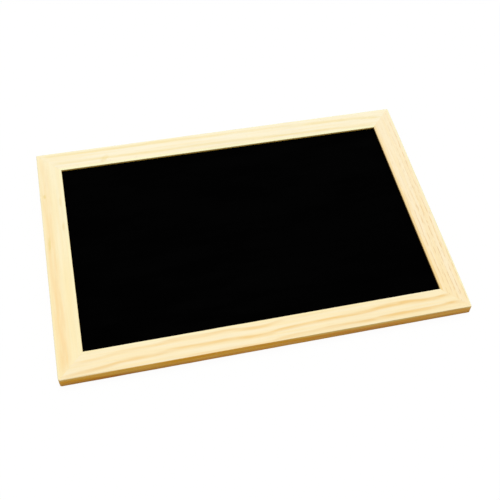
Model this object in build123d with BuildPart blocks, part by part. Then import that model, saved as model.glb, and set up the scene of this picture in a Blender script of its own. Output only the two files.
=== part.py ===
"""Slate writing board: a mitred pine frame round a black-coated hardboard panel.

The board lies on its back: X runs along its length, Y across it towards the top rail, and Z out of the
writing face. The origin is the middle of the back. All sizes are in millimetres.
"""

import os

from build123d import *

# Board
board_length = 300.0
board_width = 200.0
frame_thickness = 10.0
corner_radius = 1.5  # plan radius of the four outer corners

# Frame moulding
rail_width = 18.5
lip_thickness = 1.5  # wood left in front of the panel
rebate_width = 6.0  # from the sight edge to the rebate wall
arris_radius = 0.6  # outer edges, front and back
sight_radius = 0.3  # front edge beside the panel

# Writing panel
panel_thickness = 3.0
panel_clearance = 0.5  # room for the panel to swell, on each side

# V-nails: bent steel strip, pressed across each mitre from the back
nail_strip = 0.5
nail_leg = 4.0
nail_flare = 0.8  # how far the ends turn out, each way
nail_bend_radius = 0.6
nail_edge_wood = 1.2  # wood left beside the nails, on each side of the back land
nail_front_wood = 2.8  # wood left in front of a nail
nail_sink = 0.2  # below the back of the frame
nails_per_mitre = 2

# Framer's points: flat steel tabs, driven into the rebate wall against the back of the panel
point_length = 15.0
point_width = 6.0
point_thickness = 0.6
point_tip = 3.0  # length of the spear tip
point_hold = 7.0  # length driven into the rail
point_corner_radius = 0.8
points_per_rail = 3
points_per_stile = 2

# Worked out from the sizes above
rebate_depth = frame_thickness - lip_thickness
back_land = rail_width - rebate_width  # width of the frame's flat back
panel_back = rebate_depth - panel_thickness
panel_length = board_length - 2 * (back_land + panel_clearance)
panel_width = board_width - 2 * (back_land + panel_clearance)
outer_arris = min(arris_radius, 0.9 * corner_radius)  # a round arris stays inside a round corner
nail_height = frame_thickness - nail_front_wood - nail_sink
nail_size = nail_leg + 2 * nail_flare + nail_strip
nail_spread = back_land - 2 * nail_edge_wood - nail_size  # from the first nail of a mitre to the last
nail_numbers = range(1, nails_per_mitre + 1)

# One plane for each side of the frame: x along the rail, y from its outer face inwards
sides = {
    "bottom": Plane(origin=(0, -board_width / 2, 0), x_dir=(1, 0, 0)),
    "right": Plane(origin=(board_length / 2, 0, 0), x_dir=(0, 1, 0)),
    "top": Plane(origin=(0, board_width / 2, 0), x_dir=(-1, 0, 0)),
    "left": Plane(origin=(-board_length / 2, 0, 0), x_dir=(0, -1, 0)),
}

# One plane for each outer corner: x and y both run inwards along the frame's outer faces
corners = {
    "bottom_left": Plane(origin=(-board_length / 2, -board_width / 2, 0), x_dir=(1, 0, 0)),
    "bottom_right": Plane(origin=(board_length / 2, -board_width / 2, 0), x_dir=(0, 1, 0)),
    "top_right": Plane(origin=(board_length / 2, board_width / 2, 0), x_dir=(-1, 0, 0)),
    "top_left": Plane(origin=(-board_length / 2, board_width / 2, 0), x_dir=(0, -1, 0)),
}

# Name, length and number of framer's points of the rail on each side
rail_names = {"bottom": "bottom_rail", "right": "right_stile", "top": "top_rail", "left": "left_stile"}
rail_lengths = {"bottom": board_length, "right": board_width, "top": board_length, "left": board_width}
point_counts = {
    "bottom": points_per_rail,
    "right": points_per_stile,
    "top": points_per_rail,
    "left": points_per_stile,
}


def point_places(side):
    """Places of the framer's points along a rail, spread evenly over its rebate."""
    count = point_counts[side]
    rebate_length = rail_lengths[side] - 2 * back_land
    return [((number + 0.5) / count - 0.5) * rebate_length for number in range(count)]


def nail_outline(corner, number, height):
    """A V-nail's plan at a height: its apex is on the mitre and its legs open towards the corner."""
    share = (number - 1) / max(1, nails_per_mitre - 1)
    middle = back_land / 2 + (share - 0.5) * nail_spread
    apex = middle + nail_leg / 2
    far = middle - nail_leg / 2
    with BuildSketch(corners[corner].offset(height)) as outline:
        with BuildLine():
            FilletPolyline(
                (far - nail_flare, apex + nail_flare),
                (far, apex),
                (apex, apex),
                (apex, far),
                (apex + nail_flare, far - nail_flare),
                radius=nail_bend_radius,
            )
            offset(amount=nail_strip / 2, side=Side.BOTH)
        make_face()
    return outline.sketch


def point_outline(side, place):
    """A framer's point's plan: its spear tip is in the rail and its square end over the panel."""
    tip = back_land - point_hold
    end = tip + point_length
    half = point_width / 2
    with BuildSketch(sides[side].offset(panel_back - point_thickness)) as outline:
        with BuildLine():
            FilletPolyline(
                (place, tip),
                (place + half, tip + point_tip),
                (place + half, end),
                (place - half, end),
                (place - half, tip + point_tip),
                radius=(0, 0, point_corner_radius, point_corner_radius, 0),
                close=True,
            )
        make_face()
    return outline.sketch


def make_rail(side):
    """One rail: mitred ends, eased edges, a rebate at the back, and a kerf for each nail and point."""
    name = rail_names[side]
    half = rail_lengths[side] / 2
    plane = sides[side]
    inwards = Axis(plane.origin, plane.y_dir)
    with BuildPart() as rail:
        with BuildSketch(plane):
            with BuildLine():
                outer_face = Line((corner_radius - half, 0), (half - corner_radius, 0))
                right_corner = JernArc(outer_face @ 1, (1, 0), corner_radius, 45)
                left_corner = JernArc(outer_face @ 0, (-1, 0), corner_radius, -45)
                Polyline(
                    right_corner @ 1,
                    (half - rail_width, rail_width),
                    (rail_width - half, rail_width),
                    left_corner @ 1,
                )
            make_face()
        extrude(amount=frame_thickness)
        front_edges = rail.edges().group_by(Axis.Z)[-1].sort_by(inwards)
        back_edges = rail.edges().group_by(Axis.Z)[0].sort_by(inwards)
        fillet(front_edges[:3] + back_edges[:3], radius=outer_arris)
        sight_edge = rail.edges().group_by(Axis.Z)[-1].sort_by(inwards)[-1]
        fillet(sight_edge, radius=sight_radius)
        with BuildSketch(plane):
            with Locations((0, back_land + rebate_width / 2)):
                Rectangle(2 * half, rebate_width)
        extrude(amount=rebate_depth, mode=Mode.SUBTRACT)
        for corner in corners:
            if side in corner:
                for number in nail_numbers:
                    kerf = nail_outline(corner, number, 0)
                    extrude(kerf, amount=nail_sink + nail_height, mode=Mode.SUBTRACT)
        for place in point_places(side):
            extrude(point_outline(side, place), amount=point_thickness, mode=Mode.SUBTRACT)
    rail.part.label = name
    export_step(rail.part, f"parts/{name}.step")


def make_panel():
    """The writing panel, face against the lips of the four rails."""
    with BuildPart() as panel:
        with BuildSketch(Plane.XY.offset(panel_back)):
            Rectangle(panel_length, panel_width)
        extrude(amount=panel_thickness)
    panel.part.label = "writing_panel"
    export_step(panel.part, "parts/writing_panel.step")


def make_nail(corner, number):
    """One V-nail, sunk a little below the back of the frame. Number 1 is nearest the outer corner."""
    name = f"v_nail_{corner}_{number}"
    with BuildPart() as nail:
        extrude(nail_outline(corner, number, nail_sink), amount=nail_height)
    nail.part.label = name
    export_step(nail.part, f"parts/{name}.step")


def make_point(side, number, place):
    """One framer's point, flat against the back of the panel."""
    name = f"framer_point_{side}_{number}"
    with BuildPart() as point:
        extrude(point_outline(side, place), amount=point_thickness)
    point.part.label = name
    export_step(point.part, f"parts/{name}.step")


os.makedirs("parts", exist_ok=True)
make_panel()
for side in sides:
    make_rail(side)
    for number, place in enumerate(point_places(side), start=1):
        make_point(side, number, place)
for corner in corners:
    for number in nail_numbers:
        make_nail(corner, number)
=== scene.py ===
"""Dresses the slate writing board: four mitred pine rails, a coated panel and the steel that holds them.

The board lies on its back: X runs along its length, Y towards the top rail and Z out of the writing face.
Lengths are in metres, apart from the materials' patterns, which are worked out in millimetres.
"""

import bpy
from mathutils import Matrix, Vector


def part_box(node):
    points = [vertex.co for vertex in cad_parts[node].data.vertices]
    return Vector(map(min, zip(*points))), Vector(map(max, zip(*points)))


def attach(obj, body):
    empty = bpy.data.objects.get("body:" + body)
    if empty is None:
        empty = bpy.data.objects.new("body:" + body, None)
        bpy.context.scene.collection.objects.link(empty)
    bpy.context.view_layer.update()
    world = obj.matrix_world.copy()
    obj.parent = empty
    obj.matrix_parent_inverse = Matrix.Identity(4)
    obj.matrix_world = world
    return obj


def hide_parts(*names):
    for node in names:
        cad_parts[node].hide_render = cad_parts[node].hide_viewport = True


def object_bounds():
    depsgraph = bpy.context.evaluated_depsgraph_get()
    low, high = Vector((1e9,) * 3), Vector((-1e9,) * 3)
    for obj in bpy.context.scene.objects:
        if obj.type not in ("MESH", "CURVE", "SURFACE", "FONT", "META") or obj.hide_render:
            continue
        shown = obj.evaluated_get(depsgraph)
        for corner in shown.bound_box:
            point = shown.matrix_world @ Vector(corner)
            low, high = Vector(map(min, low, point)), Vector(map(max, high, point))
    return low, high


bl_info = {
    "name": "Slate Writing Board",
    "version": (1, 0, 0),
    "blender": (4, 5, 0),
    "location": "3D View > Sidebar > Slate Board",
    "description": "Models and finishes a pine-framed slate writing board around its packed frame",
    "category": "Mesh",
}

import math

import bmesh
import bpy
from bpy.props import FloatProperty, FloatVectorProperty, PointerProperty
from bpy.types import NodeSocket, Operator, Panel, PropertyGroup
from mathutils import Quaternion, Vector

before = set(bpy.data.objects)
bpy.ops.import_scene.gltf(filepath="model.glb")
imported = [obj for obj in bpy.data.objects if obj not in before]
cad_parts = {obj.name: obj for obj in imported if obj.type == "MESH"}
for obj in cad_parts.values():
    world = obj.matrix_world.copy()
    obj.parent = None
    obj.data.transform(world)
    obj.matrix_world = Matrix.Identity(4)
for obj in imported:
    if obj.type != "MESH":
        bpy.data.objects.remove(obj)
cad_low, cad_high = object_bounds()

MM = 0.001
TOLERANCE = 1e-6
X, Y, Z = range(3)
ROOT = "root"

# Sizes that the frame gives
rail_low, rail_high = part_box("bottom_rail")
panel_low, panel_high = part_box("writing_panel")
nail_low, nail_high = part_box("v_nail_bottom_left_1")
point_low, point_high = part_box("framer_point_bottom_1")
BOARD_LENGTH = cad_high.x - cad_low.x
BOARD_WIDTH = cad_high.y - cad_low.y
THICKNESS = cad_high.z - cad_low.z
RAIL_WIDTH = rail_high.y - rail_low.y
PANEL_FRONT = panel_high.z
NAIL_HEIGHT = nail_high.z - nail_low.z
POINT_WIDTH = point_high.x - point_low.x
POINT_LENGTH = point_high.y - point_low.y
POINT_THICKNESS = point_high.z - point_low.z

# Sides and corners, each a quarter turn on from the one before it
SIDES = ("bottom", "right", "top", "left")
CORNERS = ("bottom_left", "bottom_right", "top_right", "top_left")
RAIL_NODES = {"bottom": "bottom_rail", "right": "right_stile", "top": "top_rail", "left": "left_stile"}
QUARTER_TURN = math.pi / 2

# How finely round forms and long edges are divided
CORNER_STEPS = 8
ARRIS_STEPS = 6
SIGHT_STEPS = 4
BEND_STEPS = 5
EDGE_STEPS = 2
STATION_GAP = 6 * MM
SMOOTH_ANGLE = math.radians(35)

# How a mitre's face is told by its normal, how far a V-nail's ends turn, and the reach of a sanding stroke
MITRE_NORMAL_Y = math.sqrt(0.5)
UPRIGHT_NORMAL_Z = 0.01
FLARE_TURN = math.pi / 4
SANDING_STROKE = 14 * MM

# How round the front arris is along each rail, as a share of the arris radius, by points in millimetres
EASING = {
    "bottom": ((-150, 1.1), (-130, 2.2), (-110, 1.4), (-60, 1.0), (0, 0.5), (150, 0.5)),
    "right": ((-100, 0.5), (-70, 1.0), (100, 1.0)),
    "top": ((-150, 1.0), (150, 1.0)),
    "left": ((-100, 1.0), (60, 1.0), (100, 1.1)),
}

# The rails that meet at the bottom right corner, as they lie in the bottom rail's place: the end that is
# there, and the way that it leans
LEANING = {"bottom": (1, Vector((1, 0, 0))), "right": (-1, Vector((0, -1, 0)))}

# The figure of each rail's wood, in millimetres. Points are (place along the rail, value), from end to end,
# and pairs are for the two ends.
# line: where a line of latewood runs, from the rail's outer face
# outer, main, inner: strength of the line outside that one, of the line itself and of the one inside it
# ring_width: how far apart the lines are
# lean: how far they move across for each millimetre of depth
# late_share: share of a ring that is latewood
# broken, break_length: how much the lines come and go, and in stretches of what length
# wander, streaks: how strongly the lines wander, and how strong the paler and yellower streaks are
# paleness, canals: lean towards the paler streaks, and strength of the resin canals
# sight_tone, sight: colour of the edge beside the panel, and its strength
# rim, lip_shade: strength of the painted highlight on the outer rim, and brightness of the painted shade on
# the lip's wall
# side_depth, side_tone: strength of the painted shade on the outer side, and how deep it is
# side_line, side_ring: height of a growth ring on the outer side, and its strength
# worn, soiling: the outer side's painted shade, paler along its worn, lit front and darker towards its back
GRAIN = {
    "bottom": {
        "line": (
            (-150, 2.2), (-138, 3.0), (-116, 4.8), (-105, 6.3), (-84, 6.9), (-66, 8.3), (-46, 8.0),
            (-30, 8.3), (-8, 7.1), (10, 9.1), (42, 10.1), (72, 10.9), (84, 12.3), (100, 13.0), (122, 11.9),
            (136, 13.1), (150, 13.4),
        ),
        "outer": ((-150, 0.0), (-75, 0.0), (-50, 0.45), (20, 0.5), (45, 0.75), (150, 0.9)),
        "main": ((-150, 0.65), (-120, 0.75), (-60, 0.65), (0, 0.85), (150, 0.9)),
        "inner": ((-150, 0.35), (-115, 0.35), (-95, 0.3), (-65, 0.7), (-10, 0.65), (30, 0.2), (150, 0.15)),
        "ring_width": ((-150, 7.1), (-50, 7.1), (0, 6.8), (70, 6.9), (92, 8.0), (130, 6.9), (150, 8.4)),
        "lean": 0.8,
        "late_share": 0.6,
        "broken": 0.4,
        "break_length": 22.0,
        "wander": 0.25,
        "streaks": 0.8,
        "paleness": (0.15, -0.25),
        "canals": (0.1, 0.1),
        "sight_tone": "sanded",
        "sight": (0.3, 0.1),
        "rim": 0.0,
        "lip_shade": 1.0,
        "side_depth": 1.0,
        "side_tone": (
            (-150, 0.55), (-120, 0.6), (-95, 0.45), (-70, 0.65), (-20, 0.6), (60, 0.5), (90, 0.3),
            (150, 0.2),
        ),
        "side_line": (
            (-150, 6.4), (-130, 4.4), (-112, 2.8), (-85, 7.3), (0, 7.2), (37, 5.2), (75, 3.3), (110, 2.6),
            (150, 2.4),
        ),
        "side_ring": (
            (-150, 0.1), (-130, 0.8), (-112, 0.7), (-98, 0.0), (-75, 0.3), (-20, 0.3), (5, 0.8), (60, 1.0),
            (80, 0.6), (150, 0.2),
        ),
        "worn": (
            (-150, 0.5), (-120, 0.2), (-98, 0.0), (-40, 0.0), (0, 0.15), (25, 0.6), (60, 1.0), (150, 1.0),
        ),
        "soiling": (
            (-150, 0.45), (-121, 0.95), (-90, 0.82), (-60, 0.6), (-20, 0.37), (30, 0.43), (70, 0.75),
            (100, 0.73), (150, 0.7),
        ),
    },
    "right": {
        "line": ((-100, 7.8), (-50, 7.4), (0, 7.2), (50, 6.4), (100, 5.6)),
        "outer": ((-100, 0.7), (-60, 1.0), (0, 0.8), (60, 0.8), (100, 0.4)),
        "main": ((-100, 1.0), (0, 0.9), (40, 0.6), (100, 0.35)),
        "inner": ((-100, 0.6), (-80, 0.8), (-10, 0.8), (20, 0.35), (100, 0.25)),
        "ring_width": ((-100, 3.2), (100, 2.9)),
        "lean": 0.3,
        "late_share": 0.42,
        "broken": 1.0,
        "break_length": 6.5,
        "wander": 0.8,
        "streaks": 0.9,
        "paleness": (-0.3, 1.0),
        "canals": (0.6, 0.4),
        "sight_tone": "mellow",
        "sight": (0.9, 0.5),
        "rim": 0.6,
        "lip_shade": 0.3,
        "side_depth": 0.6,
        "side_tone": ((-100, 0.6), (100, 0.7)),
        "side_line": ((-100, 6.2), (0, 5.4), (100, 4.0)),
        "side_ring": ((-100, 0.5), (0, 0.7), (100, 0.4)),
        "worn": ((-100, 1.0), (100, 1.0)),
        "soiling": ((-100, 0.6), (100, 0.5)),
    },
    "top": {
        "line": ((-150, 8.4), (-100, 6.2), (-50, 5.0), (0, 4.2), (60, 3.3), (110, 2.9), (150, 3.0)),
        "outer": ((-150, 0.0), (150, 0.0)),
        "main": ((-150, 0.9), (-90, 0.9), (-40, 0.5), (10, 0.6), (60, 0.9), (150, 0.8)),
        "inner": (
            (-150, 0.4), (-110, 0.85), (-50, 1.0), (0, 1.0), (30, 0.85), (80, 0.65), (110, 0.75), (150, 0.7),
        ),
        "ring_width": ((-150, 8.7), (150, 8.7)),
        "lean": 0.6,
        "late_share": 0.5,
        "broken": 0.35,
        "break_length": 20.0,
        "wander": 0.4,
        "streaks": 0.8,
        "paleness": (0.4, 0.0),
        "canals": (0.15, 0.15),
        "sight_tone": "sanded",
        "sight": (0.9, 0.9),
        "rim": 0.4,
        "lip_shade": 1.0,
        "side_depth": 0.6,
        "side_tone": ((-150, 0.5), (150, 0.7)),
        "side_line": ((-150, 3.0), (-40, 4.6), (60, 5.8), (150, 6.2)),
        "side_ring": ((-150, 0.4), (0, 0.7), (150, 0.5)),
        "worn": ((-150, 1.0), (150, 1.0)),
        "soiling": ((-150, 0.5), (150, 0.6)),
    },
    "left": {
        "line": ((-100, 4.6), (-40, 5.0), (0, 5.2), (50, 5.9), (100, 7.4)),
        "outer": ((-100, 0.0), (100, 0.0)),
        "main": ((-100, 0.4), (-30, 0.6), (20, 0.75), (60, 0.9), (100, 0.9)),
        "inner": ((-100, 0.0), (100, 0.0)),
        "ring_width": ((-100, 17.0), (100, 17.0)),
        "lean": 0.4,
        "late_share": 0.75,
        "broken": 0.4,
        "break_length": 20.0,
        "wander": 0.8,
        "streaks": 0.6,
        "paleness": (0.6, -0.9),
        "canals": (0.1, 0.1),
        "sight_tone": "sanded",
        "sight": (0.5, 0.15),
        "rim": 0.2,
        "lip_shade": 1.0,
        "side_depth": 0.45,
        "side_tone": ((-100, 0.7), (100, 0.5)),
        "side_line": ((-100, 3.8), (0, 5.0), (100, 6.6)),
        "side_ring": ((-100, 0.6), (100, 0.5)),
        "worn": ((-100, 1.0), (100, 0.7)),
        "soiling": ((-100, 0.5), (100, 0.6)),
    },
}

# Flecks in the wood, in millimetres and degrees: side, place along the rail, place from its outer face,
# length, width, slant and strength
FLECKS = (
    ("top", 96.5, 12.2, 8.5, 5.0, -42.0, 0.42),
    ("left", -57.0, 3.4, 4.5, 2.2, 0.0, 0.8),
    ("left", -11.5, 3.6, 15.0, 2.2, 3.0, 0.9),
    ("left", -50.0, 15.0, 9.0, 2.2, 0.0, 0.35),
    ("left", -26.0, 15.2, 9.0, 2.0, 0.0, 0.45),
)

# How large each pattern's patches are along X, Y and Z, in millimetres. On the wood, X runs along the rail,
# Y in from its outer face and Z up from its back.
PATCHES = {
    "broad wander": (45.0, 16.0, 16.0),
    "fine wander": (9.0, 2.5, 2.5),
    "pale streak": (60.0, 2.4, 2.4),
    "wood fibre": (16.0, 0.35, 0.35),
    "resin canal": (9.0, 0.9, 0.9),
    "fleck edge": (3.0, 0.6, 0.6),
    "side streak": (40.0, 40.0, 2.0),
    "coat stipple": (0.7, 0.7, 0.7),
    "rolled coat": (60.0, 14.0, 14.0),
    "board fibre": (1.2, 0.25, 0.4),
    "board cross fibre": (0.25, 1.2, 0.4),
    "board cloud": (18.0, 18.0, 18.0),
    "steel rolling": (0.12, 6.0, 0.12),
    "steel film": (2.2, 2.2, 2.2),
}

# The wood's lines: how far they wander, the share of one that fades in, the share of its width that is full,
# and the width of a break. Levels, here and below, are the noise values between which a pattern comes in, and
# edges are the distances between which it fades out.
BROAD_WANDER = 1.6
FINE_WANDER = 0.7
FADE_IN = 0.6
LINE_CORE = 0.1
BREAK_WIDTH = 2.0
BREAK_LEVELS = (0.35, 0.6)

# Its paler and yellower streaks, which multiply its colour, and its fibres, resin canals and flecks
PALE_STREAK = (0.995, 1.04, 1.12)
YELLOW_STREAK = (0.99, 0.975, 0.89)
STREAK_LEVELS = (0.3, 0.7)
FIBRE_TONE = 0.05
CANAL_LEVELS = (0.6, 0.65)
CANAL_EDGE = (0.12, 0.3)
FLECK_RAGGEDNESS = 0.35
FLECK_EDGE = (0.2, 0.65)

# Its surface: roughness and what changes it, shares of the relief, depth of the relief and shine
PINE_ROUGHNESS = 0.55
FIBRE_ROUGHNESS = 0.08
LATE_ROUGHNESS = -0.06
FIBRE_RELIEF = 0.6
LATE_RELIEF = 0.4
CANAL_RELIEF = -0.5
PINE_RELIEF = 0.04 * MM
PINE_SHINE = 0.2

# How near a mitre its lines fade, how strong they are there, and how far apart the rails lie in a plank
MITRE_FADE = 8.0
MITRE_STRENGTH = 0.4
PLANK_STEP = 400.0

# Bands along a rail, in millimetres: beside the panel and on the lip, back from the sight edge; the rim's
# painted highlight and the side, from the outer face; the worn, lit edge, back from the front; and the
# painted shade, from the back
SIGHT_BAND = (2.4, 1.5)
LIP_BAND = (2.0, 1.0)
RIM_BAND = (0.8, 2.0)
OUTER_BAND = (2.0, 4.0)
WORN_AND_LIT_BAND = (3.2, 0.8)
BACK_SHADE_BAND = (1.5, 6.0)

# The outer side's ring, by the distance from its line, and its deeper painted shade. Then how level a face is
# where the side's painted shade ends, unworn and worn, over what range it fades, and the same for the lip's
# shade.
RING_EDGE = (0.3, 2.2)
TONE_LEVELS = (0.3, 1.3)
SHADE_REACH = (0.97, 0.45)
SHADE_FADE = 0.45
LIP_FACING = (0.85, 0.15)

# The panel: the coat's edge, rolled streaks, roughness and shine, and the hardboard's fibres and screen
COAT_BLEND = 0.1
ROLLED_LEVELS = (0.35, 0.65)
POLISH_LEVELS = (0.3, 0.7)
COAT_ROUGHNESS = (0.6, 0.48)
STIPPLE_ROUGHNESS = 0.06
STIPPLE_RELIEF = 0.35
COAT_SHINE = 0.003
BOARD_FIBRE_LEVELS = (0.5, 0.75)
BOARD_FIBRE_RELIEF = 0.3
CLOUD_TONE = 0.3
SCREEN_PITCH = 1.4
SCREEN_FACING = (-0.5, -0.9)
SCREEN_SHADE = (0.8, 1.0)
PANEL_RELIEF = 0.12 * MM

# The steel: its tarnish, by kind of fastener, and its roughness and what changes it
NAIL_TARNISH = 0.7
POINT_TARNISH = 0.4
FILM_LEVELS = (0.4, 0.65)
STEEL_ROUGHNESS = 0.34
ROLLING_ROUGHNESS = 0.08
FILM_ROUGHNESS = 0.22
STEEL_RELIEF = 0.01 * MM

# The studio: how high the sky blends into the ground, and white
HORIZON = (-0.1, 0.1)
WHITE = (1.0, 1.0, 1.0, 1.0)

# Kinds of sockets that a finish gives, and the Mix node's sockets for colours
FINISH_SOCKETS = {"Color": "Color", "Roughness": "Float", "Height": "Float"}
MIX_FACTOR, MIX_FIRST, MIX_SECOND, MIX_RESULT = 0, 6, 7, 2


def length_setting(name, description, millimetres):
    """A length for the user to set."""
    return FloatProperty(
        name=name, description=description, default=millimetres * MM, min=0.0, unit="LENGTH"
    )


def colour_setting(name, description, default):
    """A colour for the user to set."""
    return FloatVectorProperty(
        name=name, description=description, default=default, min=0.0, max=1.0, subtype="COLOR"
    )


def angle_setting(name, description, degrees):
    """An angle for the user to set."""
    return FloatProperty(
        name=name, description=description, default=math.radians(degrees), subtype="ANGLE"
    )


def share_setting(name, description, default):
    """A share, from 0 to 1, for the user to set."""
    return FloatProperty(
        name=name, description=description, default=default, min=0.0, max=1.0, subtype="FACTOR"
    )


class FrameSizes(PropertyGroup):
    """Sizes of the pine frame and the panel that their boxes don't give"""

    bottom_left_radius: length_setting(
        "Bottom Left Radius", "Plan radius of the outer corner at the bottom left, rounded by hand", 1.5
    )
    bottom_right_radius: length_setting(
        "Bottom Right Radius", "Plan radius of the outer corner at the bottom right, rounded by hand", 0.8
    )
    top_right_radius: length_setting(
        "Top Right Radius", "Plan radius of the outer corner at the top right, rounded by hand", 1.5
    )
    top_left_radius: length_setting(
        "Top Left Radius", "Plan radius of the outer corner at the top left, rounded by hand", 1.0
    )
    arris_radius: length_setting("Arris Radius", "Radius of the outer edges, front and back", 0.6)
    sight_radius: length_setting("Sight Radius", "Radius of the front edge beside the panel", 0.3)
    worn_sight_radius: length_setting(
        "Worn Sight Radius", "Radius of the rounder front edge beside the panel, on the right stile", 0.9
    )
    corner_lean: length_setting(
        "Corner Lean", "How far the bottom right corner is out of square, each way from its middle", 0.5
    )
    panel_room: length_setting("Panel Room", "Gap between the panel's edge and the wall of the rebate", 0.5)
    joint_easing: length_setting("Joint Easing", "Width of the worn edge along each mitre", 0.05)
    sanding: length_setting("Sanding", "How far hand sanding wanders along the eased edges", 0.2)
    kerf_room: length_setting("Kerf Room", "Gap between a steel fastener and the wood that it parts", 0.05)
    panel_edge: length_setting("Panel Edge Radius", "Radius of the panel's sawn and coated edges", 0.3)


class FastenerSizes(PropertyGroup):
    """Sizes of the steel fasteners that their boxes don't give"""

    nail_strip: length_setting("Nail Strip", "Thickness of the strip that a V-nail is folded from", 0.5)
    nail_leg: length_setting("Nail Leg", "Length of each leg of a V-nail, between its folds", 4.0)
    nail_flare: length_setting("Nail Flare", "How far the ends of a V-nail turn out, each way", 0.8)
    nail_bend_radius: length_setting(
        "Nail Bend Radius", "Radius of the folds, in the middle of the strip", 0.6
    )
    point_tip: length_setting("Point Tip", "Length of a framer's point's spear tip", 3.0)
    point_corner_radius: length_setting(
        "Point Corner Radius", "Radius of the corners at a framer's point's square end", 0.8
    )
    stamped_edge: length_setting(
        "Stamped Edge", "Width of the rounding along the edges of the stamped steel", 0.07
    )


class BoardColours(PropertyGroup):
    """Colours of the wood, the panel and the steel"""

    # Each rail's earlywood is partly painted light: the top rail's is paler and the bottom rail's deeper, for
    # light brighter towards the back
    bottom_pale: colour_setting(
        "Bottom Rail Earlywood", "Pale wood between the bottom rail's growth rings", (0.933, 0.78, 0.49)
    )
    bottom_late: colour_setting(
        "Bottom Rail Latewood", "Darker lines of the bottom rail's growth rings", (0.85, 0.56, 0.215)
    )
    right_pale: colour_setting(
        "Right Stile Earlywood", "Pale wood between the right stile's growth rings", (0.938, 0.768, 0.485)
    )
    right_late: colour_setting(
        "Right Stile Latewood", "Darker lines of the right stile's growth rings", (0.80, 0.56, 0.295)
    )
    top_pale: colour_setting(
        "Top Rail Earlywood", "Pale wood between the top rail's growth rings", (0.942, 0.825, 0.575)
    )
    top_late: colour_setting(
        "Top Rail Latewood", "Darker lines of the top rail's growth rings", (0.89, 0.725, 0.385)
    )
    left_pale: colour_setting(
        "Left Stile Earlywood", "Pale wood between the left stile's growth rings", (0.938, 0.80, 0.50)
    )
    left_late: colour_setting(
        "Left Stile Latewood", "Darker band of the left stile's growth rings", (0.915, 0.67, 0.345)
    )
    canal: colour_setting("Resin Canal", "Short dashes of the open resin canals", (0.70, 0.50, 0.28))
    fleck: colour_setting("Fleck", "Pin knots and resin flecks", (0.83, 0.65, 0.28))
    # Painted shade on the rails' outer sides, deeper in streaks and paler along their worn, lit front edges
    side_tint: colour_setting(
        "Side Tint", "Multiplies the wood's colour on the mellowed sides of the rails", (1.0, 0.63, 0.12)
    )
    side_streak: colour_setting(
        "Side Streak", "Multiplies the wood's colour in the deeper streaks of the sides", (0.93, 0.49, 0.01)
    )
    side_worn: colour_setting(
        "Worn And Lit Side", "Multiplies the wood's colour where a side's front edge is worn", (1.0, 0.80, 0.35)
    )
    # Painted shade on the low wall beside the panel
    lip_tint: colour_setting(
        "Lip Tint", "Multiplies the wood's colour on the low wall beside the panel", (0.66, 0.44, 0.13)
    )
    # Painted shade, darker towards a side's back, where it meets the floor
    soil: colour_setting(
        "Soil", "Multiplies a side's colour where it is soiled, towards the back", (0.62, 0.47, 0.0)
    )
    # The sanded tone beside the panel, also used as a painted highlight along the outer rims
    sanded: colour_setting("Sanded And Lit Edge", "Fresh pale wood along a sanded edge", (0.94, 0.90, 0.56))
    # Painted shade along the right stile's rounded edge beside the panel
    mellow: colour_setting(
        "Painted Sight Shade", "Deeper wood along an unsanded edge beside the panel", (0.87, 0.62, 0.25)
    )
    slate: colour_setting("Slate Coat", "Matt black writing coat", (0.0001, 0.0001, 0.0001))
    slate_worn: colour_setting(
        "Slate Coat Polish", "Writing coat where it is rolled thin", (0.0003, 0.0003, 0.0003)
    )
    board: colour_setting(
        "Hardboard", "Pressed wood fibre at the panel's edges and back", (0.24, 0.125, 0.055)
    )
    board_fibre: colour_setting("Hardboard Fibre", "Paler fibres in the hardboard", (0.40, 0.25, 0.13))
    steel: colour_setting("Steel", "Plain steel strip", (0.56, 0.56, 0.55))
    tarnish: colour_setting("Tarnish", "Dull film on the steel", (0.30, 0.26, 0.22))


class StageSettings(PropertyGroup):
    """Camera, light and floor"""

    azimuth: angle_setting("Azimuth", "Camera's turn about Z, from looking along Y", -16.87)
    elevation: angle_setting("Elevation", "Camera's height above the floor, as an angle", 56.46)
    roll: angle_setting("Roll", "Camera's turn about its own line of sight", 5.06)
    distance: length_setting("Distance", "From the camera to its target", 599.4)
    target: FloatVectorProperty(
        name="Target",
        description="Point on the floor that the camera looks at",
        default=(2.06 * MM, -14.99 * MM, 0.0),
        subtype="TRANSLATION",
        unit="LENGTH",
    )
    lens: FloatProperty(name="Lens", description="Focal length", default=55.92, min=1.0, unit="CAMERA")
    key_direction: FloatVectorProperty(
        name="Key Direction",
        description="Direction from the board to the key light",
        default=(0.05, 0.3, 0.95),
        subtype="DIRECTION",
    )
    key_spread: angle_setting("Key Spread", "How wide the soft key light is, seen from the board", 30)
    key_strength: FloatProperty(
        name="Key Strength",
        description="Strength of the key light, in watts on a square metre",
        default=1.48,
        min=0.0,
    )
    sky_level: share_setting("Sky Level", "Soft light from above", 0.6)
    ground_level: share_setting("Ground Level", "Soft light from below", 0.6)
    floor_size: length_setting("Floor Size", "Side of the square floor", 8000)
    floor_gap: length_setting("Floor Gap", "Gap between the floor and the board's back", 0.2)
    floor_bounce: share_setting(
        "Floor Bounce", "Share of the light that the floor gives back to the board", 0.35
    )
    shadow_depth: share_setting(
        "Shadow Depth", "Share of the floor's white that the board's shadow can take away", 0.045
    )


def side_turn(side):
    """Turn about Z that takes a rail from the bottom rail's place to this side."""
    return SIDES.index(side) * QUARTER_TURN


def rail_length(side):
    """Length of a side's rail along its outer face."""
    return BOARD_LENGTH if side in ("bottom", "top") else BOARD_WIDTH


def rail_reach(side):
    """From the middle of the board to a side's outer face."""
    return (BOARD_WIDTH if side in ("bottom", "top") else BOARD_LENGTH) / 2


def back_land(sizes):
    """Width of a rail's flat back, from its outer face to the wall of its rebate."""
    return panel_low.x - cad_low.x - sizes.panel_room


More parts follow.
